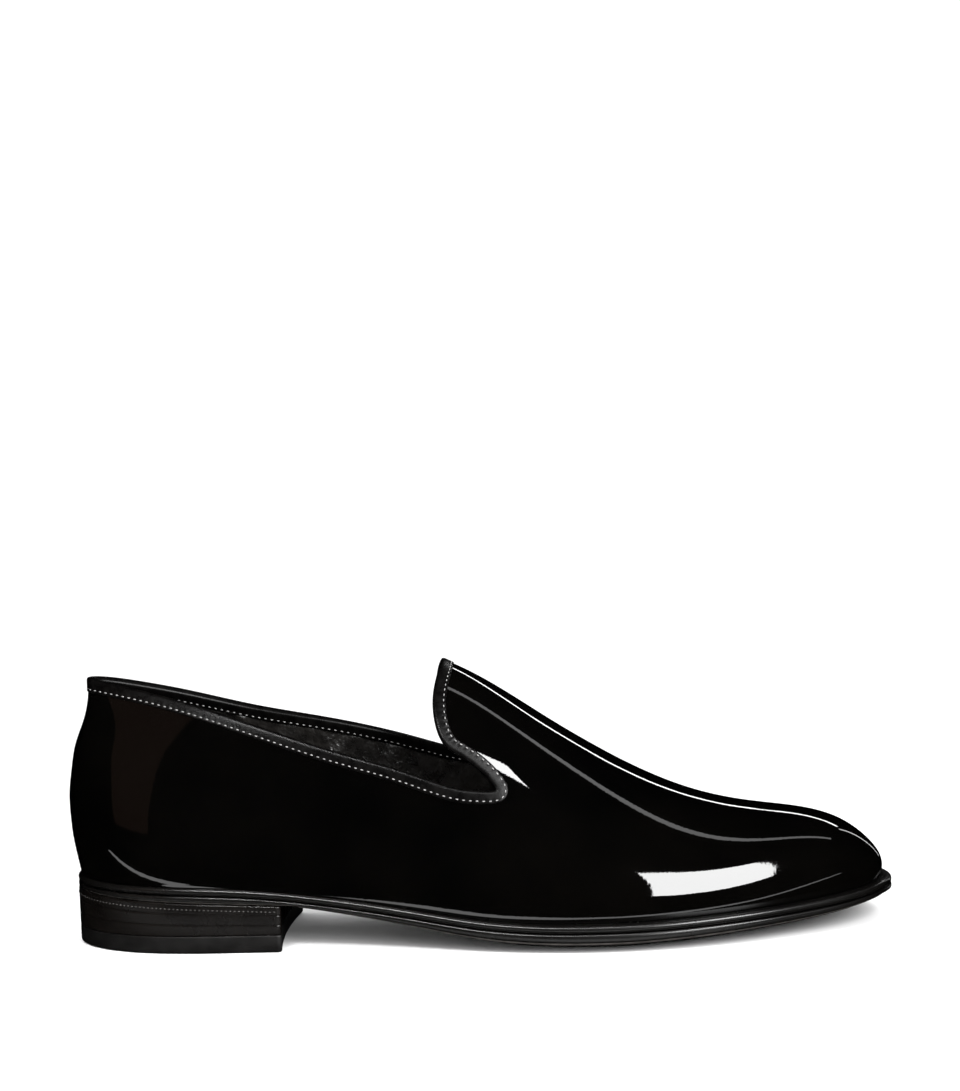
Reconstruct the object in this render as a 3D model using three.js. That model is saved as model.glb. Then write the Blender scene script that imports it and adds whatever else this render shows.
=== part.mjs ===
// A men's slip-on dress loafer of patent leather, right foot, standing empty on its sole.
// Millimetres, +Z up, +X toward the toe, -Y is the outer side of the foot.
// The upper, its binding, the insole, welt and outsole are all drawn from one last.
import * as THREE from 'three';

// Lengths along the shoe
const LAST_LENGTH = 296; // heel to toe along the feather edge, where the upper meets the welt
const HEEL_BREAST = 80.5; // from the back of the heel to its front face
const HEEL_ROUND = 60; // how far forward the round of the heel reaches

// Widths, at the widest section of the ball, from the line between heel and toe
const BALL_OUTSIDE = 47.5;
const BALL_INSIDE = 45;

// Heights above the floor
const BALL_SEAT = 10.4; // feather edge at the ball
const HEEL_SEAT = 25.3; // feather edge at the back of the heel
const TOE_SPRING = 4.4; // rise of the feather edge from ball to toe
const TOE_BULGE = 3.8; // how far the toe stands out in front of the feather edge
const COLLAR_HEIGHT = 97.6; // top of the collar at the back
const INSTEP_RISE = 90; // from the feather edge to the crest of the last

// Upper
const WALL = 2;
const COUNTER_BULGE = 3; // how far the back stands out behind the feather edge
const COLLAR_LEAN = 5.9; // how far the top of the back lies in front of the feather edge
const THROAT_RISE = 2.4; // at the throat the inner topline is this much higher than the outer one

// Binding folded over the topline
const BINDING_DEPTH = 3.8;
const BINDING_THICKNESS = 0.7;
const BINDING_EASE = 0.42; // room between the binding and the wall, which curves inside it

// Sole
const WELT_THICKNESS = 2.6;
const WELT_SEAT = 5; // how far the welt reaches in under the upper
const WELT_OUT_TOE = 4.6; // how far the welt stands out from the upper
const WELT_OUT_HEEL = 1.2;
const SOLE_EDGE_HEEL = 4.8; // welt and outsole together, at heel and waist
const SOLE_EDGE_BALL = 7.2; // the same at the ball
const SOLE_EDGE_TOE = 4.8; // and at the toe
const SOLE_CROWN = 3.6; // the middle of the forepart lies this much lower than its edge
const INSOLE_THICKNESS = 2.2;
const INSOLE_EASE = 0.7; // room between the insole's edge and the wall, which leans in above it
const TOP_PIECE = 6.3; // rubber top piece of the heel
const LIFT = 4.1; // one leather lift
const BREAST_HOLLOW = 2.2; // curve of the heel's front face
const BREAST_SKEW = 4; // the inner corner of the heel lies this much further forward
const SOLE_BEVEL = 0.6; // on the lower edge of the outsole, half as much on the upper one
const SOLE_MIDDLE = 19; // how far in from the rim the flat middle of the outsole begins
const WELT_ROUND = 0.3; // of its thickness, on both edges of the welt

const GAP = 0.3; // between curved pieces that meet
const SEAT_GAP = 0.5; // between heel and outsole, which starts to curve down at the breast

// Mesh density
const AROUND = 72;
const UP_WALL = 14;
const CROWDING = 2.2; // how far the rows of the wall crowd toward the feather edge
const BREAST_STEPS = 10;
const CORNER_EASE = 1; // room between the last point of the rim and the heel's front corner

// Cross sections of the last from heel to toe. along is a share of the last's length, outside and
// inside are shares of the ball's half widths, heelRise and toeRise are shares of the two rises of
// the feather edge, crest is a share of the instep's rise, flare is how the wall leaves the feather
// edge, round is the radius of the crest as a share of the ball's half width, and lean is how far
// the crest lies in front of the feather edge, as a share of the toe's bulge.
const SECTION_COLUMNS = [
  'along', 'outside', 'inside', 'heelRise', 'toeRise', 'crest', 'flareOut', 'flareIn', 'round', 'lean'];
const SECTIONS = [
  [0.0130, 0.621, 0.645, 1.00, 0.00, 0.880, 2.0, 2.0, 0.11, 0.00],
  [0.1161, 0.653, 0.678, 0.95, 0.00, 0.885, 2.0, 2.0, 0.13, 0.00],
  [0.2201, 0.674, 0.667, 0.86, 0.00, 0.930, 1.8, 1.8, 0.18, 0.00],
  [0.3218, 0.711, 0.629, 0.64, 0.00, 0.985, 1.7, 1.7, 0.27, 0.00],
  [0.4234, 0.798, 0.644, 0.35, 0.00, 0.985, 1.6, 1.6, 0.44, 0.00],
  [0.5040, 0.895, 0.716, 0.12, 0.00, 0.912, 1.5, 1.6, 0.56, 0.00],
  [0.5916, 0.980, 0.849, 0.01, 0.00, 0.741, 1.5, 1.6, 0.62, 0.00],
  [0.6802, 1.000, 0.968, 0.00, 0.00, 0.559, 1.5, 1.6, 0.71, 0.00],
  [0.7607, 0.939, 1.000, 0.00, 0.13, 0.425, 1.5, 1.6, 0.84, 0.00],
  [0.8352, 0.806, 0.925, 0.00, 0.30, 0.349, 1.5, 1.6, 0.98, 0.00],
  [0.8996, 0.633, 0.763, 0.00, 0.46, 0.307, 1.5, 1.5, 1.00, 0.18],
  [0.9470, 0.475, 0.570, 0.00, 0.64, 0.244, 1.4, 1.4, 0.80, 0.60],
  [0.9779, 0.320, 0.375, 0.00, 0.82, 0.148, 1.2, 1.2, 0.48, 0.90],
  [1.0000, 0.000, 0.000, 0.00, 1.00, 0.005, 1.0, 1.0, 0.20, 0.15]];

// Profile of the back: height as a share from feather edge to collar, bulge as a share of the
// counter's bulge and lean as a share of the collar's lean.
const BACK_COLUMNS = ['height', 'bulge', 'lean'];
const BACK = [
  [0.00, 0.00, 0.000],
  [0.08, 0.36, 0.000],
  [0.17, 0.73, 0.000],
  [0.29, 0.98, 0.000],
  [0.41, 1.00, 0.000],
  [0.53, 0.85, 0.120],
  [0.66, 0.40, 0.220],
  [0.78, 0.02, 0.600],
  [0.89, 0.00, 0.915],
  [1.00, 0.00, 1.000]];

// Topline in the side view from the back to the top of the tongue: turn is the share of the way
// round, along a share of the last's length in front of the back, up the share of the last's
// height there, foot the place on the feather edge, as a share of its length, that the wall runs
// down to, and inner how much higher the inner side is, as a share of the throat's rise.
const TOPLINE_COLUMNS = ['turn', 'along', 'up', 'foot', 'inner'];
const TOPLINE = [
  [0.00, 0.0000, 0.900, 0.000, 0.00],
  [0.09, 0.0465, 0.885, 0.022, 0.00],
  [0.17, 0.1337, 0.822, 0.080, -0.50],
  [0.25, 0.2271, 0.702, 0.170, -0.58],
  [0.33, 0.3278, 0.592, 0.285, 0.55],
  [0.41, 0.4234, 0.547, 0.410, 0.50],
  [0.48, 0.4869, 0.537, 0.510, 0.65],
  [0.53, 0.5206, 0.567, 0.600, 0.80],
  [0.58, 0.5347, 0.598, 0.730, 0.85],
  [0.63, 0.5251, 0.645, 0.840, 0.60],
  [0.69, 0.4990, 0.688, 0.905, 0.40],
  [0.76, 0.4743, 0.716, 0.945, 0.20],
  [0.84, 0.4627, 0.813, 0.972, 0.10],
  [0.92, 0.4642, 0.922, 0.991, 0.00],
  [1.00, 0.4708, 1.000, 1.000, 0.00]];

// Half widths of the sole's rim beyond the feather edge, as a share from heel to toe
const RIM_COLUMNS = ['along', 'out'];
const RIM = [
  [0.00, 0.0],
  [0.30, 0.2],
  [0.55, 0.8],
  [0.70, 1.0],
  [1.00, 1.0]];

// Cubic spline through a column of a table, level at both ends when flatEnds is true
function cubicSpline(xs, ys, flatEnds = false) {
  const n = xs.length;
  const low = new Array(n).fill(0);
  const mid = new Array(n).fill(1);
  const high = new Array(n).fill(0);
  const right = new Array(n).fill(0);
  for (let i = 1; i < n - 1; i += 1) {
    const before = xs[i] - xs[i - 1];
    const after = xs[i + 1] - xs[i];
    low[i] = before;
    mid[i] = 2 * (before + after);
    high[i] = after;
    right[i] = 6 * ((ys[i + 1] - ys[i]) / after - (ys[i] - ys[i - 1]) / before);
  }
  if (flatEnds) {
    const first = xs[1] - xs[0];
    const last = xs[n - 1] - xs[n - 2];
    mid[0] = 2 * first;
    high[0] = first;
    right[0] = 6 * (ys[1] - ys[0]) / first;
    mid[n - 1] = 2 * last;
    low[n - 1] = last;
    right[n - 1] = -6 * (ys[n - 1] - ys[n - 2]) / last;
  }
  for (let i = 1; i < n; i += 1) {
    const factor = low[i] / mid[i - 1];
    mid[i] -= factor * high[i - 1];
    right[i] -= factor * right[i - 1];
  }
  const bend = new Array(n).fill(0);
  bend[n - 1] = right[n - 1] / mid[n - 1];
  for (let i = n - 2; i >= 0; i -= 1) {
    bend[i] = (right[i] - high[i] * bend[i + 1]) / mid[i];
  }
  return (x) => {
    const place = Math.min(Math.max(x, xs[0]), xs[n - 1]);
    let i = 0;
    while (i < n - 2 && place > xs[i + 1]) {
      i += 1;
    }
    const span = xs[i + 1] - xs[i];
    const a = (xs[i + 1] - place) / span;
    const b = 1 - a;
    const curve = ((a ** 3 - a) * bend[i] + (b ** 3 - b) * bend[i + 1]) * span * span / 6;
    return a * ys[i] + b * ys[i + 1] + curve;
  };
}

// Splines through the columns of a table, keyed by column name
function readTable(columns, rows, knots, flatEnds = false) {
  const read = {};
  columns.forEach((name, i) => {
    read[name] = cubicSpline(knots, rows.map((row) => row[i]), flatEnds);
  });
  return read;
}

// Station of a length along the last: it slows down toward the toe, where the outline closes round
const stationOf = (x) => 2 / Math.PI * Math.asin(Math.min(Math.max(x / LAST_LENGTH, 0), 1));

const sections = readTable(
  SECTION_COLUMNS, SECTIONS, SECTIONS.map((row) => stationOf(row[0] * LAST_LENGTH)));
const back = readTable(BACK_COLUMNS, BACK, BACK.map((row) => row[0]));
const topline = readTable(TOPLINE_COLUMNS, TOPLINE, TOPLINE.map((row) => row[0]), true);
const rim = readTable(RIM_COLUMNS, RIM, RIM.map((row) => row[0]), true);

// Height of the feather edge, which the top of the sole follows
function featherHeight(x) {
  const s = stationOf(x);
  const rise = (HEEL_SEAT - BALL_SEAT) * Math.max(0, sections.heelRise(s));
  return BALL_SEAT + rise + TOE_SPRING * Math.max(0, sections.toeRise(s));
}

const crestHeight = (x) => featherHeight(x) + INSTEP_RISE * sections.crest(stationOf(x));

// Length at which the back of the shoe lies, at a height
function backAt(z) {
  const share = (z - HEEL_SEAT) / (COLLAR_HEIGHT - HEEL_SEAT);
  return COUNTER_BULGE * (1 - back.bulge(share)) + COLLAR_LEAN * back.lean(share);
}

// Point of the last at length x and place c across, -1 the outer feather edge, 0 the crest and
// 1 the inner feather edge. The height rises with 1 - c * c, and the width falls with c times the
// root of a square function that gives the wall its flare and the crest its radius.
function lastPoint(x, c) {
  const s = stationOf(x);
  const half = c < 0
    ? BALL_OUTSIDE * sections.outside(s)
    : BALL_INSIDE * sections.inside(s);
  const flare = c < 0 ? sections.flareOut(s) : sections.flareIn(s);
  const foot = featherHeight(x);
  const rise = Math.max(crestHeight(x) - foot, 0);
  const up = 1 - c * c;
  const radius = BALL_OUTSIDE * sections.round(s);
  const fullness = half > 0.5 ? 2 * rise * radius / (half * half) : 2;
  const shape = 1 + flare * up + (fullness - 1 - flare) * up * up;
  const z = foot + rise * up;
  const depth = Math.min(Math.max((x - backAt(z)) / HEEL_ROUND, 0), 1);
  const heelRound = Math.sqrt(1 - (1 - depth) ** 3);
  const y = c * half * Math.sqrt(Math.max(shape, 0.02)) * heelRound;
  return new THREE.Vector3(x + TOE_BULGE * sections.lean(s) * up, y, z);
}

// The wall is laid out flat: way is the root of the share of the length in front of the back, so
// that the round of the heel opens evenly, and across is c drawn in toward the toe, where the rim
// closes. The feather edge is the rim of this layout.
const rimHalf = (way) => Math.sqrt(Math.max(1 - way ** 12, 1e-9));

function layoutPoint(place) {
  const c = Math.min(Math.max(place.across / rimHalf(place.way), -1), 1);
  const depth = LAST_LENGTH * place.way * place.way;
  const fade = Math.max(1 - depth / HEEL_ROUND, 0) ** 3;
  let x = depth;
  for (let pass = 0; pass < 6; pass += 1) {
    const foot = featherHeight(x);
    const z = foot + Math.max(crestHeight(x) - foot, 0) * (1 - c * c);
    x = Math.min(depth + backAt(z) * fade, LAST_LENGTH);
  }
  return lastPoint(x, c);
}

const sideOf = (turn) => (turn < 0 ? -1 : 1);

// Place on the layout of the topline, for a turn from -1, the tongue on the outer side, over 0,
// the back, to 1, the tongue again
function toplinePlace(turn) {
  const share = Math.abs(turn);
  const raise = turn > 0 ? THROAT_RISE * topline.inner(share) : 0;
  const way = Math.sqrt(Math.max(topline.along(share), 0));
  const x = LAST_LENGTH * way * way;
  const rise = crestHeight(x) - featherHeight(x);
  const up = Math.min(topline.up(share) + raise / rise, 1);
  return { way, across: sideOf(turn) * Math.sqrt(1 - up) * rimHalf(way) };
}

// Place on the layout of the feather edge for the same turn
function featherPlace(turn) {
  const way = Math.sqrt(Math.min(Math.max(topline.foot(Math.abs(turn)), 0), 1));
  return { way, across: sideOf(turn) * rimHalf(way) };
}

// Turn brought back into the round from -1 to 1
const wrapTurn = (turn) => (turn > 1 ? turn - 2 : (turn < -1 ? turn + 2 : turn));

const STEP = 1e-3; // small step for slopes

// Place on the layout that lies a depth below the topline, square to it
function bandPlace(turn, depth) {
  const top = toplinePlace(turn);
  const here = layoutPoint(top);
  const side = sideOf(turn);
  const alongWay = layoutPoint({ way: top.way + STEP, across: top.across }).sub(here);
  const acrossWay = layoutPoint({ way: top.way, across: top.across + side * STEP }).sub(here);
  const ahead = layoutPoint(toplinePlace(wrapTurn(turn + STEP)));
  const behind = layoutPoint(toplinePlace(wrapTurn(turn - STEP)));
  const along = ahead.sub(behind).normalize();
  const outward = alongWay.clone().cross(acrossWay).normalize();
  const square = outward.cross(along).multiplyScalar(side).normalize();
  const aa = alongWay.dot(alongWay);
  const ab = alongWay.dot(acrossWay);
  const bb = acrossWay.dot(acrossWay);
  const sa = alongWay.dot(square) * depth;
  const sb = acrossWay.dot(square) * depth;
  const scale = STEP / (aa * bb - ab * ab);
  return {
    way: top.way + (sa * bb - sb * ab) * scale,
    across: top.across + side * (sb * aa - sa * ab) * scale
  };
}

const BAND = BINDING_DEPTH + GAP; // depth of the strip that the binding covers

// Point of the upper's outside: down is 0 at the topline, 1 at the foot of the binding's strip and
// 2 at the feather edge
function outsidePoint(turn, down) {
  const strip = bandPlace(turn, BAND * Math.min(down, 1));
  const foot = featherPlace(turn);
  const share = Math.max(down - 1, 0);
  return layoutPoint({
    way: strip.way + (foot.way - strip.way) * share,
    across: strip.across + (foot.across - strip.across) * share
  });
}

const turnOf = (k) => 2 * k / AROUND - 1;

// Frame of the wall at a place: the point, the way out of the wall and the way down the wall
function wallFrame(turn, down) {
  const lower = Math.min(down + STEP, 2);
  const upper = Math.max(down - STEP, 0);
  const place = outsidePoint(turn, down);
  const ahead = outsidePoint(wrapTurn(turn + STEP), down);
  const behind = outsidePoint(wrapTurn(turn - STEP), down);
  const along = ahead.sub(behind).normalize();
  const fall = outsidePoint(turn, lower).sub(outsidePoint(turn, upper));
  const outward = along.clone().cross(fall).normalize();
  return { place, outward, square: outward.clone().cross(along) };
}

// Ring of frames around the wall at one depth
function frameRing(down) {
  const ring = [];
  for (let k = 0; k < AROUND; k += 1) {
    ring.push(wallFrame(turnOf(k), down));
  }
  return ring;
}

// A closed body from rings of points, each joined to the next and the last to the first
function ringBody(rings) {
  const count = rings[0].length;
  const positions = [];
  rings.forEach((ring) => ring.forEach((p) => positions.push(p.x, p.y, p.z)));
  const index = [];
  rings.forEach((ring, i) => {
    const next = (i + 1) % rings.length;
    for (let k = 0; k < count; k += 1) {
      const a = i * count + k;
      const b = i * count + (k + 1) % count;
      const c = next * count + k;
      const d = next * count + (k + 1) % count;
      index.push(a, b, c, b, d, c);
    }
  });
  const geometry = new THREE.BufferGeometry();
  geometry.setAttribute('position', new THREE.Float32BufferAttribute(positions, 3));
  geometry.setIndex(index);
  return geometry;
}

// A closed body from rings stacked from bottom to top, with a lid at each end laid as strips
// between the outer and inner points of the ring
function stackBody(rings) {
  const count = rings[0].length;
  const positions = [];
  rings.forEach((ring) => ring.forEach((p) => positions.push(p.x, p.y, p.z)));
  const index = [];
  for (let i = 0; i < rings.length - 1; i += 1) {
    for (let k = 0; k < count; k += 1) {
      const a = i * count + k;
      const b = i * count + (k + 1) % count;
      index.push(a, a + count, b, b, a + count, b + count);
    }
  }
  const top = (rings.length - 1) * count;
  for (let k = 0; k < count / 2; k += 1) {
    const a = k;
    const b = k + 1;
    const c = (count - k) % count;
    const d = count - k - 1;
    if (k > 0) {
      index.push(a, b, c);
      index.push(top + a, top + c, top + b);
    }
    if (k < count / 2 - 1) {
      index.push(b, d, c);
      index.push(top + b, top + c, top + d);
    }
  }
  const geometry = new THREE.BufferGeometry();
  geometry.setAttribute('position', new THREE.Float32BufferAttribute(positions, 3));
  geometry.setIndex(index);
  return geometry;
}

// Outline of the sole seen from above: the feather edge moved outward by a share of the rim
function outline(outBy, heightAt) {
  const feather = [];
  for (let k = 0; k < AROUND; k += 1) {
    feather.push(outsidePoint(turnOf(k), 2));
  }
  return feather.map((p, k) => {
    const before = feather[(k + AROUND - 1) % AROUND];
    const after = feather[(k + 1) % AROUND];
    const way = new THREE.Vector2(after.x - before.x, after.y - before.y).normalize();
    const out = outBy(p.x / LAST_LENGTH);
    const x = p.x - way.y * out;
    const y = p.y + way.x * out;
    return new THREE.Vector3(x, y, heightAt(x));
  });
}

const rimOut = (share) => WELT_OUT_HEEL + (WELT_OUT_TOE - WELT_OUT_HEEL) * rim.out(share);
const weltTop = (x) => featherHeight(x) - GAP;
const soleTop = (x) => weltTop(x) - WELT_THICKNESS - GAP;

// Underside of the outsole: straight over the heel, then down to the ball and up to the toe.
// middle is 0 at the rim and 1 in the middle, where the forepart is crowned.
function soleUnder(x, middle) {
  const atBack = HEEL_SEAT - SOLE_EDGE_HEEL;
  const atBreast = featherHeight(HEEL_BREAST) - SOLE_EDGE_HEEL;
  if (x <= HEEL_BREAST + BREAST_SKEW) {
    return atBack + (atBreast - atBack) * x / HEEL_BREAST;
  }
  const toHeel = sections.heelRise(stationOf(x)) / sections.heelRise(stationOf(HEEL_BREAST));
  const toBall = 1 - Math.max(0, toHeel);
  const toToe = Math.max(0, sections.toeRise(stationOf(x)));
  const thinned = (SOLE_EDGE_BALL - SOLE_EDGE_TOE) * toToe;
  const edge = SOLE_EDGE_HEEL + (SOLE_EDGE_BALL - SOLE_EDGE_HEEL) * toBall - thinned;
  return Math.max(featherHeight(x) - edge - SOLE_CROWN * toBall * middle, 0);
}

// The wall stands WALL thick inside the last's surface, with its foot level on the feather edge.
// Its rows crowd together toward the foot, where the toe closes.
function makeUpper() {
  const outer = [];
  const inner = [];
  for (let row = 0; row < UP_WALL; row += 1) {
    const share = 1 - (row - 1) / (UP_WALL - 2);
    const ring = frameRing(row < 2 ? row : 2 - share ** CROWDING);
    outer.push(ring.map((frame) => frame.place));
    inner.push(ring.map((frame) => frame.place.clone().addScaledVector(frame.outward, -WALL)));
  }
  inner[UP_WALL - 1].forEach((p) => {
    p.z = featherHeight(p.x);
  });
  return ringBody([...outer, ...inner.reverse()]);
}

// The binding is a channel over the edge of the upper, its legs following the wall's two faces
function makeBinding() {
  const top = frameRing(0);
  const foot = frameRing(BINDING_DEPTH / BAND);
  const ring = (frames, out, raise) => frames.map((frame) => frame.place.clone()
    .addScaledVector(frame.outward, out)
    .addScaledVector(frame.square, -raise));
  const near = BINDING_EASE;
  const far = BINDING_EASE + BINDING_THICKNESS;
  return ringBody([
    ring(foot, near, 0),
    ring(top, near, near),
    ring(top, -WALL - near, near),
    ring(foot, -WALL - near, 0),
    ring(foot, -WALL - far, 0),
    ring(top, -WALL - far, near),
    ring(top, -WALL / 2 - far / 2, far),
    ring(top, -WALL / 2 + far / 2, far),
    ring(top, far, near),
    ring(foot, far, 0)]);
}

// The insole board stands on the outsole inside the welt and spreads over it to the wall
function makeInsole() {
  const edge = -(WALL + GAP + INSOLE_EASE);
  const plug = -(WELT_SEAT + GAP);
  const seat = (x) => weltTop(x) + GAP;
  return stackBody([
    outline(() => plug, (x) => soleTop(x) + GAP),
    outline(() => plug, seat),
    outline(() => edge, seat),
    outline(() => edge - INSOLE_EASE, (x) => seat(x) + INSOLE_THICKNESS)]);
}

function makeWelt() {
  const level = (share) => (x) => weltTop(x) - WELT_THICKNESS * share;
  const drawnIn = (s) => rimOut(s) - WELT_THICKNESS * WELT_ROUND;
  return ringBody([
    outline(() => -WELT_SEAT, level(0)),
    outline(drawnIn, level(0)),
    outline(rimOut, level(WELT_ROUND)),
    outline(rimOut, level(1 - WELT_ROUND)),
    outline(drawnIn, level(1)),
    outline(() => -WELT_SEAT, level(1))]);
}

function makeOutsole() {
  const inset = (by) => (s) => rimOut(s) - by;
  return stackBody([
    outline(inset(SOLE_MIDDLE), (x) => soleUnder(x, 1)),
    outline(inset(SOLE_MIDDLE / 2), (x) => soleUnder(x, 0.7)),
    outline(inset(SOLE_BEVEL), (x) => soleUnder(x, 0)),
    outline(inset(0), (x) => soleUnder(x, 0) + SOLE_BEVEL),
    outline(inset(0), (x) => soleTop(x) - SOLE_BEVEL / 2),
    outline(inset(SOLE_BEVEL / 2), soleTop)]);
}

// Outline of the heel seen from above: the sole's rim behind the breast, closed by a hollow curve
function heelShape() {
  const s = stationOf(HEEL_BREAST);
  const rimHere = rimOut(HEEL_BREAST / LAST_LENGTH);
  const halfOuter = BALL_OUTSIDE * sections.outside(s) + rimHere;
  const halfInner = BALL_INSIDE * sections.inside(s) + rimHere;
  const frontAt = (y) => {
    const share = y / halfOuter;
    return HEEL_BREAST + BREAST_SKEW * share / 2 - BREAST_HOLLOW * (1 - share * share);
  };
  const points = outline(rimOut, () => 0).filter((p) => p.x < frontAt(p.y) - CORNER_EASE);
  const shape = new THREE.Shape();
  shape.moveTo(points[0].x, points[0].y);
  points.slice(1).forEach((p) => shape.lineTo(p.x, p.y));
  for (let i = 0; i <= BREAST_STEPS; i += 1) {
    const y = halfInner - (halfInner + halfOuter) * i / BREAST_STEPS;
    shape.lineTo(frontAt(y), y);
  }
  return shape;
}

// One layer of the heel, level below and following topAt above
function makeLift(bottom, topAt) {
  const geometry = new THREE.ExtrudeGeometry(heelShape(), { depth: 1, bevelEnabled: false });
  const place = geometry.attributes.position;
  for (let i = 0; i < place.count; i += 1) {
    place.setZ(i, place.getZ(i) > 0 ? topAt(place.getX(i)) : bottom);
  }
  return geometry;
}

const part = new THREE.Group();

function addPiece(name, geometry, color, roughness, metalness = 0) {
  const material = new THREE.MeshStandardMaterial({ color, roughness, metalness });
  const mesh = new THREE.Mesh(geometry, material);
  mesh.name = name;
  part.add(mesh);
}

const PATENT = 0x060606;
const BINDING = 0x0e0e0e;
const LINING = 0x14110f;
const SOLE_LEATHER = 0x1a1714;
const HEEL_LEATHER = 0x16110e;
const RUBBER = 0x1c1c1c;

addPiece('upper', makeUpper(), PATENT, 0.06);
addPiece('topline_binding', makeBinding(), BINDING, 0.45);
addPiece('insole', makeInsole(), LINING, 0.6);
addPiece('welt', makeWelt(), SOLE_LEATHER, 0.45);
addPiece('outsole', makeOutsole(), SOLE_LEATHER, 0.5);
addPiece('heel_top_piece', makeLift(0, () => TOP_PIECE), RUBBER, 0.7);
addPiece('heel_lift_1', makeLift(TOP_PIECE, () => TOP_PIECE + LIFT), HEEL_LEATHER, 0.4);
addPiece('heel_lift_2', makeLift(TOP_PIECE + LIFT, () => TOP_PIECE + 2 * LIFT), HEEL_LEATHER, 0.4);
addPiece(
  'heel_lift_3',
  makeLift(TOP_PIECE + 2 * LIFT, (x) => soleUnder(x, 0) - SEAT_GAP),
  HEEL_LEATHER,
  0.4);

// The origin lies on the floor under the middle of the shoe
const box = new THREE.Box3().setFromObject(part);
const middle = box.getCenter(new THREE.Vector3());
part.position.set(-middle.x, -middle.y, -box.min.z);

export default part;
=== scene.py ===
import logging
import math
from dataclasses import dataclass, field
from enum import Enum

import bpy
import bmesh
import numpy as np
from mathutils import Matrix


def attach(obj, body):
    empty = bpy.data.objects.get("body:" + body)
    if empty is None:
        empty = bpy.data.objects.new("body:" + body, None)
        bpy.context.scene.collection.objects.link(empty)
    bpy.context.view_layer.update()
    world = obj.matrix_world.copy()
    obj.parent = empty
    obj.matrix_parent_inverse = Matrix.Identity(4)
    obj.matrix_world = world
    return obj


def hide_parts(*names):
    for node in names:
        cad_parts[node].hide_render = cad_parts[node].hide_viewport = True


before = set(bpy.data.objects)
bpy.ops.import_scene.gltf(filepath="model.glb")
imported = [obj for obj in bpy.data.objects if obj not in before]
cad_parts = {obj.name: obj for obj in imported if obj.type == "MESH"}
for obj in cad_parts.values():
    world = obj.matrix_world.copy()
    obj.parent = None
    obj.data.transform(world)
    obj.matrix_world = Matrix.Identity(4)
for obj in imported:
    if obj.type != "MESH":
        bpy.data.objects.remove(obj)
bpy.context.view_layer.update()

MM = 0.001
FLOOR_HALF = 14.0
FLOOR_DROP = 0.0002
WORLD_LIGHT = 1.2
log = logging.getLogger("loafer")


class Spline:
    """Cubic spline through knots, natural or level at both ends."""

    def __init__(self, knots: np.ndarray, values: np.ndarray, flat: bool = False) -> None:
        """Solves the bends at the knots.

        Args:
            knots: rising places of the knots.
            values: value at each knot.
            flat: True for level ends.
        """
        self.knots, self.values = np.asarray(knots, float), np.asarray(values, float)
        n, gap = len(knots), np.diff(knots)
        slope = np.diff(self.values) / gap
        matrix, right = np.eye(n), np.zeros(n)
        inner = np.arange(1, n - 1)
        matrix[inner, inner - 1] = gap[:-1]
        matrix[inner, inner] = 2 * (gap[:-1] + gap[1:])
        matrix[inner, inner + 1] = gap[1:]
        right[inner] = 6 * np.diff(slope)
        if flat:
            matrix[0, :2], right[0] = (2 * gap[0], gap[0]), 6 * slope[0]
            matrix[-1, -2:], right[-1] = (gap[-1], 2 * gap[-1]), -6 * slope[-1]
        self.bend = np.linalg.solve(matrix, right)

    def __call__(self, place: np.ndarray) -> np.ndarray:
        """Value at each place, which is held within the knots."""
        place = np.clip(place, self.knots[0], self.knots[-1])
        i = np.clip(np.searchsorted(self.knots, place) - 1, 0, len(self.knots) - 2)
        span = self.knots[i + 1] - self.knots[i]
        a = (self.knots[i + 1] - place) / span
        b = 1 - a
        curve = ((a**3 - a) * self.bend[i] + (b**3 - b) * self.bend[i + 1]) * span**2 / 6
        return a * self.values[i] + b * self.values[i + 1] + curve


# along, outside, inside, heel rise, toe rise, crest, flare out, flare in, round, lean
SECTIONS = np.array([
    (0.0130, 0.621, 0.645, 1.00, 0.00, 0.880, 2.0, 2.0, 0.11, 0.00),
    (0.1161, 0.653, 0.678, 0.95, 0.00, 0.885, 2.0, 2.0, 0.13, 0.00),
    (0.2201, 0.674, 0.667, 0.86, 0.00, 0.930, 1.8, 1.8, 0.18, 0.00),
    (0.3218, 0.711, 0.629, 0.64, 0.00, 0.985, 1.7, 1.7, 0.27, 0.00),
    (0.4234, 0.798, 0.644, 0.35, 0.00, 0.985, 1.6, 1.6, 0.44, 0.00),
    (0.5040, 0.895, 0.716, 0.12, 0.00, 0.912, 1.5, 1.6, 0.56, 0.00),
    (0.5916, 0.980, 0.849, 0.01, 0.00, 0.741, 1.5, 1.6, 0.62, 0.00),
    (0.6802, 1.000, 0.968, 0.00, 0.00, 0.559, 1.5, 1.6, 0.71, 0.00),
    (0.7607, 0.939, 1.000, 0.00, 0.13, 0.425, 1.5, 1.6, 0.84, 0.00),
    (0.8352, 0.806, 0.925, 0.00, 0.30, 0.349, 1.5, 1.6, 0.98, 0.00),
    (0.8996, 0.633, 0.763, 0.00, 0.46, 0.307, 1.5, 1.5, 1.00, 0.18),
    (0.9470, 0.475, 0.570, 0.00, 0.64, 0.244, 1.4, 1.4, 0.80, 0.60),
    (0.9779, 0.320, 0.375, 0.00, 0.82, 0.148, 1.2, 1.2, 0.48, 0.90),
    (1.0000, 0.000, 0.000, 0.00, 1.00, 0.005, 1.0, 1.0, 0.20, 0.15)])
# height, bulge, lean
BACK = np.array([
    (0.00, 0.00, 0.000),
    (0.08, 0.36, 0.000),
    (0.17, 0.73, 0.000),
    (0.29, 0.98, 0.000),
    (0.41, 1.00, 0.000),
    (0.53, 0.85, 0.120),
    (0.66, 0.40, 0.220),
    (0.78, 0.02, 0.600),
    (0.89, 0.00, 0.915),
    (1.00, 0.00, 1.000)])
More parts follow.
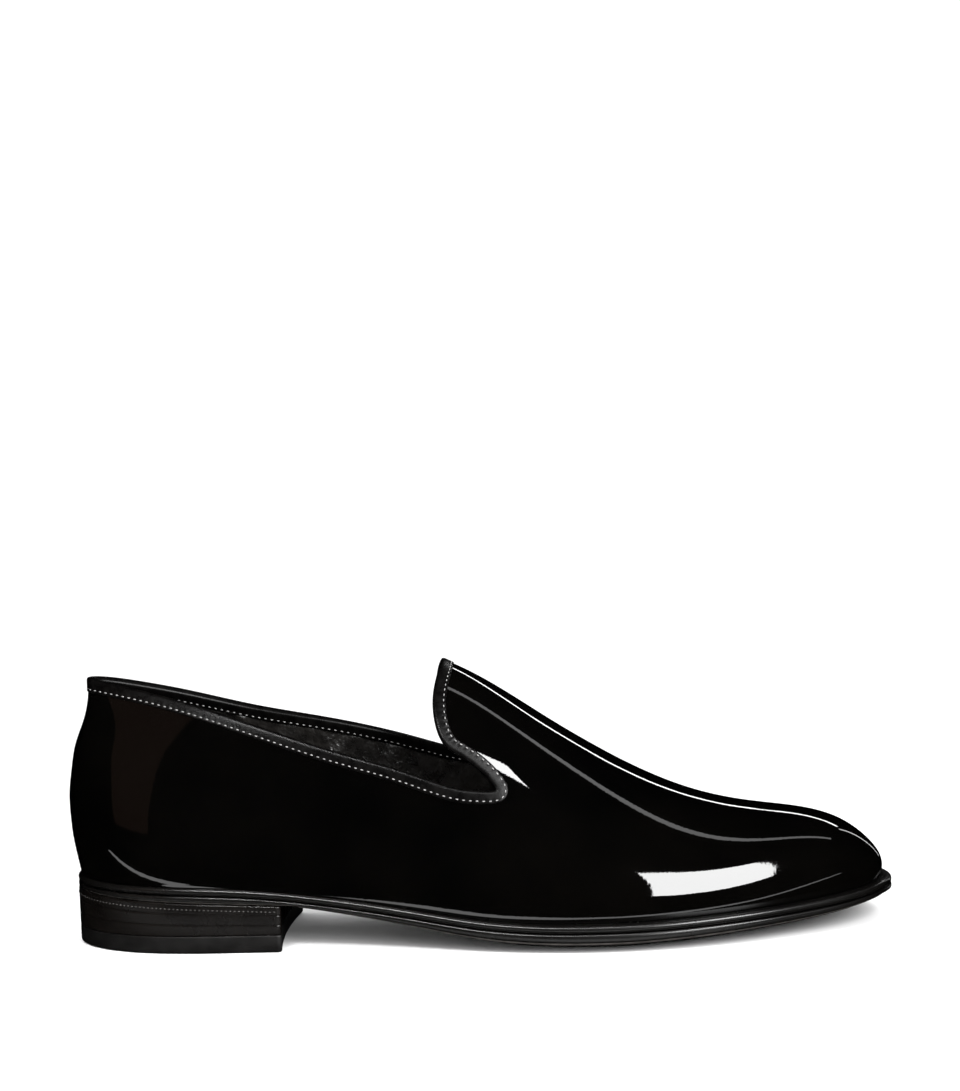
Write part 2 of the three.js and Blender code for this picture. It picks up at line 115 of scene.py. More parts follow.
# turn, along, up, foot, inner
TOPLINE = np.array([
    (0.00, 0.0000, 0.900, 0.000, 0.00),
    (0.09, 0.0465, 0.885, 0.022, 0.00),
    (0.17, 0.1337, 0.822, 0.080, -0.50),
    (0.25, 0.2271, 0.702, 0.170, -0.58),
    (0.33, 0.3278, 0.592, 0.285, 0.55),
    (0.41, 0.4234, 0.547, 0.410, 0.50),
    (0.48, 0.4869, 0.537, 0.510, 0.65),
    (0.53, 0.5206, 0.567, 0.600, 0.80),
    (0.58, 0.5347, 0.598, 0.730, 0.85),
    (0.63, 0.5251, 0.645, 0.840, 0.60),
    (0.69, 0.4990, 0.688, 0.905, 0.40),
    (0.76, 0.4743, 0.716, 0.945, 0.20),
    (0.84, 0.4627, 0.813, 0.972, 0.10),
    (0.92, 0.4642, 0.922, 0.991, 0.00),
    (1.00, 0.4708, 1.000, 1.000, 0.00)])
# along, out
RIM = np.array([(0.0, 0.0), (0.3, 0.2), (0.55, 0.8), (0.7, 1.0), (1.0, 1.0)])


@dataclass
class Last:
    """The last that the whole shoe is drawn from, in millimetres, with its heel at length 0."""

    length: float = 296.0
    heel_round: float = 60.0
    outside: float = 47.5
    inside: float = 45.0
    ball_seat: float = 10.4
    heel_seat: float = 25.3
    toe_spring: float = 4.4
    toe_bulge: float = 3.8
    collar_height: float = 97.6
    instep_rise: float = 90.0
    counter_bulge: float = 3.0
    collar_lean: float = 5.9
    throat_rise: float = 2.4
    binding_depth: float = 3.8
    gap: float = 0.3
    welt_out_heel: float = 1.2
    welt_out_toe: float = 4.6
    step: float = 1e-3

    def __post_init__(self) -> None:
        """Makes the splines of the tables."""
        knots = self.station(SECTIONS[:, 0] * self.length)
        self.sections = [Spline(knots, SECTIONS[:, i]) for i in range(1, 10)]
        self.back = [Spline(BACK[:, 0], BACK[:, i]) for i in (1, 2)]
        self.topline = [Spline(TOPLINE[:, 0], TOPLINE[:, i], True) for i in (1, 2, 3, 4)]
        self.rim = Spline(RIM[:, 0], RIM[:, 1], True)
        self.band = self.binding_depth + self.gap

    def station(self, x: np.ndarray) -> np.ndarray:
        """Station of a length, slower toward the toe: two over pi times the arcsine."""
        return 2 / np.pi * np.arcsin(np.clip(np.asarray(x) / self.length, 0, 1))

    def feather(self, x: np.ndarray) -> np.ndarray:
        """Height of the feather edge: the ball's seat plus the heel's rise and the toe spring."""
        s = self.station(x)
        rise = (self.heel_seat - self.ball_seat) * np.maximum(self.sections[2](s), 0)
        return self.ball_seat + rise + self.toe_spring * np.maximum(self.sections[3](s), 0)

    def crest(self, x: np.ndarray) -> np.ndarray:
        """Height of the crest: the feather edge plus a share of the instep's rise."""
        return self.feather(x) + self.instep_rise * self.sections[4](self.station(x))

    def back_at(self, z: np.ndarray) -> np.ndarray:
        """Length at which the back lies at a height, from the counter's bulge and the lean."""
        share = (z - self.heel_seat) / (self.collar_height - self.heel_seat)
        return (self.counter_bulge * (1 - self.back[0](share))
                + self.collar_lean * self.back[1](share))

    def point(self, x: np.ndarray, c: np.ndarray) -> np.ndarray:
        """Point of the last at length x and place c across, from -1 outside to 1 inside.

        The height rises with 1 - c * c. The width is c times the half width, times the root of
        a square function of the height share, times the round of the heel.

        Args:
            x: length from the heel.
            c: place across.

        Returns:
            Points, with the coordinates on the last axis.
        """
        x, c = np.broadcast_arrays(x, c)
        s = self.station(x)
        outer = c < 0
        half = np.where(outer, self.outside * self.sections[0](s), self.inside * self.sections[1](s))
        flare = np.where(outer, self.sections[5](s), self.sections[6](s))
        foot = self.feather(x)
        rise = np.maximum(self.crest(x) - foot, 0)
        up = 1 - c * c
        radius = self.outside * self.sections[7](s)
        full = np.where(half > 0.5, 2 * rise * radius / np.maximum(half, 0.5)**2, 2.0)
        shape = 1 + flare * up + (full - 1 - flare) * up * up
        z = foot + rise * up
        depth = np.clip((x - self.back_at(z)) / self.heel_round, 0, 1)
        y = c * half * np.sqrt(np.maximum(shape, 0.02)) * np.sqrt(1 - (1 - depth)**3)
        return np.stack([x + self.toe_bulge * self.sections[8](s) * up, y, z], -1)

    @staticmethod
    def rim_half(way: np.ndarray) -> np.ndarray:
        """Half width of the flat layout, which closes round at the toe."""
        return np.sqrt(np.maximum(1 - way**12, 1e-9))

    def layout(self, way: np.ndarray, across: np.ndarray) -> np.ndarray:
        """Point of the last at a place of the flat layout, found by passes along the back."""
        c = np.clip(across / self.rim_half(way), -1, 1)
        depth = self.length * way * way
        fade = np.maximum(1 - depth / self.heel_round, 0)**3
        x = depth
        for _ in range(6):
            foot = self.feather(x)
            z = foot + np.maximum(self.crest(x) - foot, 0) * (1 - c * c)
            x = np.minimum(depth + self.back_at(z) * fade, self.length)
        return self.point(x, c)

    def topline_place(self, turn: np.ndarray) -> tuple[np.ndarray, np.ndarray]:
        """Place on the layout of the topline, turn -1 at the tongue, 0 at the back, 1 at the tongue."""
        share = np.abs(turn)
        lift = np.where(turn > 0, self.throat_rise * self.topline[3](share), 0)
        way = np.sqrt(np.maximum(self.topline[0](share), 0))
        x = self.length * way * way
        rise = self.crest(x) - self.feather(x)
        up = np.minimum(self.topline[1](share) + lift / rise, 1)
        return way, np.where(turn < 0, -1, 1) * np.sqrt(1 - up) * self.rim_half(way)

    def feather_place(self, turn: np.ndarray) -> tuple[np.ndarray, np.ndarray]:
        """Place on the layout of the feather edge for the same turn."""
        way = np.sqrt(np.clip(self.topline[2](np.abs(turn)), 0, 1))
        return way, np.where(turn < 0, -1, 1) * self.rim_half(way)

    def band_place(self, turn: np.ndarray, depth: np.ndarray) -> tuple[np.ndarray, np.ndarray]:
        """Place on the layout at a depth below the topline, measured square to it.

        Two slopes of the layout and the run of the topline give the step by a two by two solve.
        """
        way, across = self.topline_place(turn)
        side = np.where(turn < 0, -1.0, 1.0)
        here = self.layout(way, across)
        a = self.layout(way + self.step, across) - here
        b = self.layout(way, across + side * self.step) - here
        run = (self.layout(*self.topline_place(wrap(turn + self.step)))
               - self.layout(*self.topline_place(wrap(turn - self.step))))
        run = unit(run)
        square = unit(np.cross(unit(np.cross(a, b)), run)) * side[..., None]
        aa, ab, bb = dot(a, a), dot(a, b), dot(b, b)
        sa, sb = dot(a, square) * depth, dot(b, square) * depth
        scale = self.step / (aa * bb - ab * ab)
        return way + (sa * bb - sb * ab) * scale, across + side * (sb * aa - sa * ab) * scale

    def outside_point(self, turn: np.ndarray, down: np.ndarray) -> np.ndarray:
        """Point of the upper's outside: down 0 topline, 1 foot of the binding, 2 feather edge."""
        turn, down = np.broadcast_arrays(turn, down)
        way, across = self.band_place(turn, self.band * np.minimum(down, 1))
        foot_way, foot_across = self.feather_place(turn)
        share = np.maximum(down - 1, 0)
        return self.layout(way + (foot_way - way) * share, across + (foot_across - across) * share)

    def frames(self, turn: np.ndarray, down: np.ndarray) -> tuple[np.ndarray, np.ndarray, np.ndarray]:
        """Points of the outside, the way out of the wall and the way down it."""
        turn, down = np.broadcast_arrays(turn, down)
        here = self.outside_point(turn, down)
        run = (self.outside_point(wrap(turn + self.step), down)
               - self.outside_point(wrap(turn - self.step), down))
        fall = (self.outside_point(turn, np.minimum(down + self.step, 2))
                - self.outside_point(turn, np.maximum(down - self.step, 0)))
        run = unit(run)
        out = unit(np.cross(run, fall))
        return here, out, np.cross(out, run)

    def rim_out(self, x: np.ndarray) -> np.ndarray:
        """How far the rim of the sole stands out from the feather edge."""
        return self.welt_out_heel + (self.welt_out_toe - self.welt_out_heel) * self.rim(x / self.length)

    def ring(self, count: int) -> np.ndarray:
        """Feather edge seen from above, evenly spaced, from the toe over the outer side."""
        dense = self.outside_point(np.linspace(-1, 1, 4001), np.array(2.0))
        reach = np.concatenate([[0], np.cumsum(np.linalg.norm(np.diff(dense[:, :2], axis=0), axis=1))])
        even = np.linspace(0, reach[-1], count + 1)[:-1]
        return np.stack([np.interp(even, reach, dense[:, i]) for i in (0, 1)], -1)


def wrap(turn: np.ndarray) -> np.ndarray:
    """Turn brought back into the round from -1 to 1."""
    return np.where(turn > 1, turn - 2, np.where(turn < -1, turn + 2, turn))


def dot(a: np.ndarray, b: np.ndarray) -> np.ndarray:
    """Dot product on the last axis."""
    return np.sum(a * b, -1)


def unit(a: np.ndarray) -> np.ndarray:
    """Vectors brought to length one."""
    return a / np.maximum(np.linalg.norm(a, axis=-1, keepdims=True), 1e-12)


def smooth_step(x: np.ndarray, low: float, high: float) -> np.ndarray:
    """Rises smoothly from 0 at low to 1 at high."""
    t = np.clip((x - low) / (high - low), 0, 1)
    return t * t * (3 - 2 * t)


# Middle of the CAD box in the last's own frame, in millimetres
MIDDLE = np.array([150.246, -1.200, 0.0])


def grid_faces(rows: int, cols: int, wrap_rows: bool, wrap_cols: bool) -> np.ndarray:
    """Quads of a grid of points numbered row by row.

    Args:
        rows: number of rows.
        cols: number of columns.
        wrap_rows: True if the last row joins the first.
        wrap_cols: True if the last column joins the first.

    Returns:
        Array of four indices a face.
    """
    i = np.arange(rows if wrap_rows else rows - 1)[:, None]
    j = np.arange(cols if wrap_cols else cols - 1)[None, :]
    i2, j2 = (i + 1) % rows, (j + 1) % cols
    quads = np.stack(np.broadcast_arrays(i * cols + j, i * cols + j2, i2 * cols + j2, i2 * cols + j), -1)
    return quads.reshape(-1, 4)


def volume(points: np.ndarray, quads: np.ndarray) -> float:
    """Signed volume of a closed mesh, negative if its faces point inwards."""
    a, b, c, d = (points[quads[:, i]] for i in range(4))
    return float(np.sum(dot(a, np.cross(b, c)) + dot(a, np.cross(c, d))) / 6)


def make_piece(name: str, points: np.ndarray, quads: np.ndarray, finishes: list["Finish"],
               slots: np.ndarray | None = None, weld: bool = False) -> bpy.types.Object:
    """Makes one piece from points in millimetres of the last's frame.

    Args:
        name: the piece's name.
        points: its points.
        quads: its faces, turned round here if they point inwards.
        finishes: its finishes.
        slots: index of the finish of each face.
        weld: True to merge points that lie on each other.

    Returns:
        The object, which rides on the root body.
    """
    points = (points.reshape(-1, 3) - MIDDLE)
    if volume(points, quads) < 0:
        quads = quads[:, ::-1]
    mesh = bpy.data.meshes.new(name)
    mesh.vertices.add(len(points))
    mesh.vertices.foreach_set("co", (points * MM).astype(np.float32).ravel())
    mesh.loops.add(quads.size)
    mesh.loops.foreach_set("vertex_index", quads.astype(np.int32).ravel())
    mesh.polygons.add(len(quads))
    mesh.polygons.foreach_set("loop_start", np.arange(0, quads.size, 4, dtype=np.int32))
    for finish in finishes:
        mesh.materials.append(finish.material())
    if slots is not None:
        mesh.polygons.foreach_set("material_index", slots.astype(np.int32))
    mesh.update(calc_edges=True)
    if weld:
        work = bmesh.new()
        work.from_mesh(mesh)
        bmesh.ops.remove_doubles(work, verts=work.verts, dist=2e-6)
        work.to_mesh(mesh)
        work.free()
    mesh.validate()
    mesh.shade_smooth()
    piece = bpy.data.objects.new(name, mesh)
    bpy.context.scene.collection.objects.link(piece)
    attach(piece, "root")
    log.info("%s: %d faces", name, len(mesh.polygons))
    return piece


class Grain(Enum):
    """Kind of relief that a finish has."""

    NOISE = "ShaderNodeTexNoise"
    CELLS = "ShaderNodeTexVoronoi"


@dataclass(frozen=True)
class Relief:
    """One layer of bump: the pattern's size and its height, in millimetres."""

    kind: Grain
    size: float
    height: float
    detail: float = 3.0
    stretch: tuple[float, float, float] = (1.0, 1.0, 1.0)


@dataclass(frozen=True)
class Finish:
    """A surface finish: colours, gloss and layers of relief."""

    name: str
    dark: tuple[float, float, float]
    light: tuple[float, float, float]
    patch: float
    rough: tuple[float, float]
    specular: float = 0.5
    coat: float = 0.0
    coat_rough: float = 0.03
    reliefs: tuple[Relief, ...] = ()

    def material(self) -> bpy.types.Material:
        """The material, made once."""
        found = bpy.data.materials.get(self.name)
        if found:
            return found
        material = bpy.data.materials.new(self.name)
        material.use_nodes = True
        nodes, links = material.node_tree.nodes, material.node_tree.links
        shader = nodes["Principled BSDF"]
        place = nodes.new("ShaderNodeTexCoord")
        cloud = nodes.new("ShaderNodeTexNoise")
        cloud.inputs["Scale"].default_value = 1 / (self.patch * MM)
        cloud.inputs["Detail"].default_value = 4
        links.new(place.outputs["Object"], cloud.inputs["Vector"])
        ramp = nodes.new("ShaderNodeValToRGB")
        ramp.color_ramp.elements[0].position, ramp.color_ramp.elements[1].position = 0.35, 0.68
        ramp.color_ramp.elements[0].color = (*self.dark, 1)
        ramp.color_ramp.elements[1].color = (*self.light, 1)
        links.new(cloud.outputs["Fac"], ramp.inputs["Fac"])
        links.new(ramp.outputs["Color"], shader.inputs["Base Color"])
        spread = nodes.new("ShaderNodeMapRange")
        spread.inputs["From Min"].default_value, spread.inputs["From Max"].default_value = 0.3, 0.7
        spread.inputs["To Min"].default_value, spread.inputs["To Max"].default_value = self.rough
        links.new(cloud.outputs["Fac"], spread.inputs["Value"])
        links.new(spread.outputs["Result"], shader.inputs["Roughness"])
        shader.inputs["Specular IOR Level"].default_value = self.specular
        shader.inputs["Coat Weight"].default_value = self.coat
        shader.inputs["Coat Roughness"].default_value = self.coat_rough
        last = None
        for relief in self.reliefs:
            mapping = nodes.new("ShaderNodeMapping")
            mapping.inputs["Scale"].default_value = relief.stretch
            links.new(place.outputs["Object"], mapping.inputs["Vector"])
            texture = nodes.new(relief.kind.value)
            texture.inputs["Scale"].default_value = 1 / (relief.size * MM)
            texture.inputs["Detail"].default_value = relief.detail
            links.new(mapping.outputs["Vector"], texture.inputs["Vector"])
            bump = nodes.new("ShaderNodeBump")
            bump.inputs["Strength"].default_value = 1.0
            bump.inputs["Distance"].default_value = relief.height * MM
            out = "Distance" if relief.kind is Grain.CELLS else "Fac"
            links.new(texture.outputs[out], bump.inputs["Height"])
            if last:
                links.new(last.outputs["Normal"], bump.inputs["Normal"])
            last = bump
        if last:
            links.new(last.outputs["Normal"], shader.inputs["Normal"])
            if self.coat:
                links.new(last.outputs["Normal"], shader.inputs["Coat Normal"])
        return material


# No finish has the name of a material slot, because a material is looked up by its name
PATENT = Finish("patent_leather", (0.0003, 0.0003, 0.0003), (0.0008, 0.0007, 0.0006), 40, (0.35, 0.45),
                specular=0.0, coat=1.0, coat_rough=0.025, reliefs=(
                    Relief(Grain.NOISE, 26, 0.08, 1.0),
                    Relief(Grain.NOISE, 1.3, 0.005, 2.0),
                    Relief(Grain.NOISE, 0.6, 0.0015, 2.0)))
BINDING = Finish("binding_leather", (0.0008, 0.0007, 0.0007), (0.002, 0.0018, 0.0017), 3, (0.24, 0.34),
                 specular=0.10, reliefs=(
                     Relief(Grain.CELLS, 0.6, 0.018, 1.0),
                     Relief(Grain.NOISE, 0.3, 0.008)))
LINING = Finish("lining_leather", (0.004, 0.0036, 0.0033), (0.010, 0.009, 0.008), 6, (0.24, 0.36),
                specular=0.8, coat=0.5, coat_rough=0.2, reliefs=(
                    Relief(Grain.NOISE, 8, 2.2, 3.0, (1.0, 1.0, 0.45)),
                    Relief(Grain.CELLS, 1.6, 0.16, 1.0),
                    Relief(Grain.NOISE, 0.5, 0.04)))
SOCK = Finish("sock_leather", (0.005, 0.0045, 0.004), (0.010, 0.009, 0.008), 12, (0.38, 0.55),
              reliefs=(Relief(Grain.CELLS, 1.1, 0.12, 1.0), Relief(Grain.NOISE, 5, 0.3)))
THREAD = Finish("waxed_thread", (0.14, 0.14, 0.14), (0.24, 0.235, 0.23), 1.5, (0.35, 0.5),
                reliefs=(Relief(Grain.NOISE, 0.15, 0.03),))
EDGE = Finish("waxed_sole_edge", (0.0018, 0.0016, 0.0015), (0.003, 0.0027, 0.0024), 30, (0.22, 0.3),
              specular=0.5, reliefs=(Relief(Grain.NOISE, 0.6, 0.012, 3.0),))
# Lower lip of the sole's edge, lighter than both the edge and the underside: a painted reflection of the
# pale floor.
LIP = Finish("sole_lip_painted_reflection", (0.015, 0.0135, 0.012), (0.035, 0.032, 0.029), 4, (0.4, 0.55),
             reliefs=(Relief(Grain.NOISE, 0.5, 0.05, 4.0),))
UNDERSIDE = Finish("sole_leather_underside", (0.008, 0.0072, 0.0065), (0.018, 0.016, 0.014), 18,
                   (0.34, 0.55), reliefs=(Relief(Grain.NOISE, 0.6, 0.06, 4.0),))
HEEL = Finish("stacked_heel_leather", (0.0018, 0.0014, 0.0012), (0.0036, 0.0028, 0.0023), 14, (0.24, 0.32),
              specular=0.4, reliefs=(Relief(Grain.NOISE, 1.6, 0.03, 4.0, (0.12, 0.12, 1.0)),
                                     Relief(Grain.NOISE, 0.5, 0.012)))
RUBBER = Finish("matte_rubber", (0.003, 0.0028, 0.0027), (0.005, 0.0047, 0.0045), 6, (0.42, 0.5),
                specular=0.25, reliefs=(Relief(Grain.NOISE, 0.35, 0.04, 4.0),))
MARKS = Finish("wheel_marks", (0.02, 0.019, 0.018), (0.035, 0.033, 0.031), 2, (0.3, 0.4))


def rows_of_thread(name: str, centre: np.ndarray, run: np.ndarray, out: np.ndarray,
                   length: float, thick: float, finish: Finish, lift: float = 0.0) -> bpy.types.Object:
    """A row of stitches, each a small bent capsule.

    Along the run a stitch goes with the sine of u, its girth shrinks with the cosine of u, and it
    sinks into the leather at both ends by a share of its thickness.

    Args:
        name: the piece's name.
        centre: middle of each stitch.
        run: direction of each stitch.
        out: way out of the leather.
        length: length of a stitch.
        thick: thickness of the thread.
        finish: finish of the thread.
        lift: how far the middle stands off the leather.

    Returns:
        The piece.
    """
    u = np.linspace(-np.pi / 2, np.pi / 2, 7)[:, None]
    v = np.linspace(0, 2 * np.pi, 9)[:-1][None, :]
    girth = np.maximum(np.cos(u), 0.02)**0.6 * thick / 2
    ahead = np.broadcast_to(np.sin(u) * length / 2, (7, 8))
    rise = girth * np.sin(v) + lift - 0.35 * thick * np.sin(u)**4
    aside = girth * np.cos(v)
    side = np.cross(out, run)
    points = (centre[:, None, None] + run[:, None, None] * ahead[None, ..., None]
              + out[:, None, None] * rise[None, ..., None] + side[:, None, None] * aside[None, ..., None])
    one = grid_faces(7, 8, False, True)
    ends = np.array([[0, 1, 2, 3], [0, 3, 4, 7], [4, 5, 6, 7]])
    one = np.concatenate([one, ends[:, ::-1], ends + 48])
    quads = (one[None] + (np.arange(len(centre)) * 56)[:, None, None]).reshape(-1, 4)
    return make_piece(name, points, quads, [finish])


@dataclass
class Upper:
    """Patent upper, its lining, the bound topline with its stitches and the back seam."""

    last: Last
    around: int = 540
    rows: int = 84
    crowding: float = 2.2
    skin: float = 1.0
    wall: float = 2.0
    pitch: float = 2.4
    stitch: float = 1.05
    thread: float = 0.42
    stitch_depth: float = 2.9

    def turns(self) -> np.ndarray:
        """Turns of the columns, once round the opening."""
        return (np.arange(self.around) * 2 / self.around - 1)[None, :]

    def downs(self, first: float) -> np.ndarray:
        """Rows from the topline to the feather edge, crowded toward the feather edge."""
        share = 1 - np.linspace(0, 1, self.rows - 6)
        return np.concatenate([np.linspace(first, 1, 7)[:-1], 2 - share**self.crowding])[:, None]

    def shell(self, near: float, far: np.ndarray | float, first: float) -> np.ndarray:
        """Closed shell between two depths under the last's surface.

        Args:
            near: depth of the outer face.
            far: depth of the inner face, the same all over or given for each point.
            first: row at which the shell begins.

        Returns:
            Rows of points: down the outer face and up the inner one.
        """
        here, out, _ = self.last.frames(self.turns(), self.downs(first))
        outer = here - out * near
        inner = here - out * (far[..., None] if isinstance(far, np.ndarray) else far)
        inner[-1, :, 2] = np.maximum(inner[-1, :, 2], self.last.feather(inner[-1, :, 0]) + 0.05)
        return np.concatenate([outer, inner[::-1]])

    def creases(self) -> np.ndarray:
        """Depth of the lining's folds.

        Each fold is a soft ridge, a bell curve of the distance from a slanting line, that fades
        at both ends. The table gives turn, row, slant, half length, half width and height.
        """
        table = np.array([
            (0.13, 0.75, 0.030, 0.50, 0.0060, 0.55), (0.16, 1.05, -0.020, 0.35, 0.0070, 0.60),
            (0.19, 0.80, 0.040, 0.45, 0.0060, 0.50), (0.22, 1.15, 0.025, 0.40, 0.0080, 0.65),
            (0.25, 0.85, -0.030, 0.50, 0.0065, 0.60), (0.275, 1.10, 0.020, 0.30, 0.0055, 0.55),
            (0.30, 0.90, 0.035, 0.45, 0.0070, 0.60), (0.33, 1.15, -0.025, 0.35, 0.0080, 0.55),
            (0.36, 0.95, 0.030, 0.50, 0.0065, 0.50), (0.40, 1.10, 0.020, 0.40, 0.0085, 0.50),
            (0.45, 1.00, -0.020, 0.45, 0.0080, 0.40), (0.10, 1.10, 0.020, 0.40, 0.0070, 0.40),
            (0.07, 0.95, -0.025, 0.35, 0.0060, 0.35)])
        turn, down = self.turns()[..., None], self.downs(0.0)[..., None]
        place, row, slant, half, width, height = table.T
        total = 0
        for side in (-1, 1):
            off = side * turn - place - slant * np.sin(3.1 * (down - row) + 9 * place)
            along = np.exp(-((down - row) / half)**4)
            total = total + np.sum(height * np.exp(-(off / width)**2) * along, -1)
        return total

    def build_skin(self) -> None:
        """The patent leather, one closed shell."""
        points = self.shell(0.0, self.skin, 0.0)
        quads = grid_faces(len(points), self.around, True, True)
        piece = make_piece("patent_upper", points, quads, [PATENT])
        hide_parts("upper")

    def build_lining(self) -> None:
        """The lining, a thin wrinkled shell inside the patent leather."""
        points = self.shell(self.skin + 0.02, self.wall + self.creases(), 0.0)
        quads = grid_faces(len(points), self.around, True, True)
        piece = make_piece("lining", points, quads, [LINING])

    def build_binding(self) -> None:
        """The folded strip over the topline.

        Its cross section is a closed loop of depth, raise and distance out of the wall, carried
        round the topline, and it swells a little between two stitches with a sine of the length.
        """
        table = np.array([
            (3.80, 0.00, 0.04), (3.88, 0.00, 0.18), (3.75, 0.00, 0.32), (3.40, 0.00, 0.40),
            (2.90, 0.00, 0.38), (2.40, 0.00, 0.44), (1.80, 0.00, 0.50), (1.20, 0.00, 0.54),
            (0.60, 0.00, 0.56), (0.20, 0.10, 0.54), (0.00, 0.40, 0.42), (0.00, 0.72, 0.15),
            (0.00, 0.88, -0.35), (0.00, 0.94, -1.00), (0.00, 0.88, -1.65), (0.00, 0.72, -2.25),
            (0.00, 0.40, -2.70), (0.20, 0.10, -2.88), (0.60, 0.00, -2.92), (1.20, 0.00, -2.90),
            (1.80, 0.00, -2.84), (2.40, 0.00, -2.74), (2.90, 0.00, -2.66), (3.40, 0.00, -2.72),
            (3.75, 0.00, -2.58), (3.90, 0.00, -2.30), (3.80, 0.00, -2.04), (2.00, 0.00, -2.03),
            (0.30, 0.00, -2.02), (0.00, 0.03, -1.60), (0.00, 0.04, -1.00), (0.00, 0.03, -0.40),
            (0.30, 0.00, 0.02), (2.00, 0.00, 0.03)])
        turn = (np.arange(1440) / 720 - 1)[None, :]
        depth, lift, out_by = (table[:, i][:, None] for i in range(3))
        here, out, fall = self.last.frames(turn, depth / self.last.band)
        edge = here[10]
        length = np.cumsum(np.linalg.norm(edge - np.roll(edge, 1, axis=0), axis=1))[None, :]
        count = round(float(length[0, -1]) / self.pitch)
        swell = 0.10 * np.sin(np.pi * length / length[0, -1] * count)**2
        middle = out_by + 1.0
        grown = middle + np.sign(middle) * swell * smooth_step(depth, 1.2, 3.2) * (np.abs(middle) > 1.3)
        points = here + out * (grown - 1.0)[..., None] - fall * lift[..., None]
        quads = grid_faces(len(table), turn.size, True, True)
        piece = make_piece("topline_strip", points, quads, [BINDING])
        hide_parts("topline_binding")

    def even_turns(self, depth: float) -> np.ndarray:
        """Turns that lie evenly spaced, one pitch apart, along the line at a depth."""
        turn = np.linspace(-1, 1, 3001)
        line = self.last.outside_point(turn, np.array(depth / self.last.band))
        reach = np.concatenate([[0], np.cumsum(np.linalg.norm(np.diff(line, axis=0), axis=1))])
        count = round(float(reach[-1]) / self.pitch)
        return np.interp((np.arange(count) + 0.5) * reach[-1] / count, reach, turn)

    def build_stitches(self) -> None:
        """A row of stitches on each side of the bound topline."""
        turn = self.even_turns(self.stitch_depth)
        down = np.full_like(turn, self.stitch_depth / self.last.band)
        here, out, fall = self.last.frames(turn, down)
        run = np.cross(fall, out)
        for name, place, way in (("outer_stitches", 0.42, 1), ("inner_stitches", -2.66, -1)):
            piece = rows_of_thread(name, here + out * place, run, out * way, self.stitch, self.thread,
                                   THREAD, 0.05)

    def build_back_seam(self) -> None:
        """Short row of stitches low on the back, where the upper is closed."""
        down = np.linspace(1.82, 1.985, 6)
        here, out, fall = self.last.frames(np.zeros_like(down), down)
        piece = rows_of_thread("back_seam_stitches", here, fall, out, 2.1, 0.55, THREAD, 0.1)

    def build(self) -> None:
        """Builds the whole upper."""
        self.build_skin()
        self.build_lining()
        self.build_binding()
        self.build_stitches()
        self.build_back_seam()


